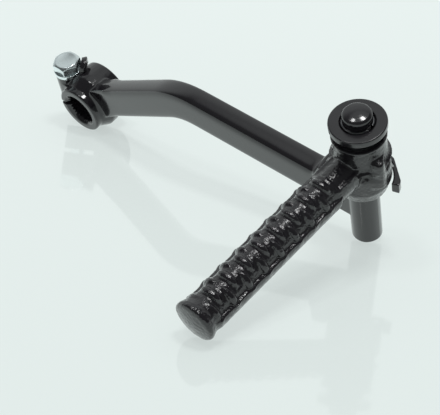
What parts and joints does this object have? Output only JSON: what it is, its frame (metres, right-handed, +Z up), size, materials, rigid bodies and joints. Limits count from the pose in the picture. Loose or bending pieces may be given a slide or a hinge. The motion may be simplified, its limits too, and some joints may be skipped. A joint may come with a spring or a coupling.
{
  "type": "kick start lever",
  "caption": "Cranked kick start lever: a split clamp boss with a serrated bore and pinch bolt at one end, and at the other a sprung ribbed pedal that folds about a post.",
  "frame": {"origin": "on the axis of the clamp bore, in the middle plane of the arm", "axes": "+Y along the bore towards the engine, +X along the arm to the pedal's pivot, +Z up along the pivot post"},
  "size_m": [0.1691, 0.0948, 0.091],
  "materials": {
    "painted_forging": "gloss black paint on a steel forging",
    "painted_casting": "thick gloss black paint on a rough iron casting",
    "painted_cap": "gloss black paint on a turned steel disc",
    "zinc_plate": "bright zinc plate",
    "spring_wire": "dark oiled spring steel"
  },
  "bodies": {
    "lever": {"arm": "painted_forging", "pinch_bolt": "zinc_plate", "spring_washer": "zinc_plate", "spring_cap": "painted_cap", "snap_ring": "spring_wire"},
    "pedal": {"pedal": "painted_casting", "fold_spring": "spring_wire"}
  },
  "joints": [
    {"name": "pedal_fold", "type": "hinge", "parent": "lever", "child": "pedal", "pos_m": [0.14, 0, 0.0568], "axis": [0, 0, -1], "range_deg": [0, 100]}
  ]
}
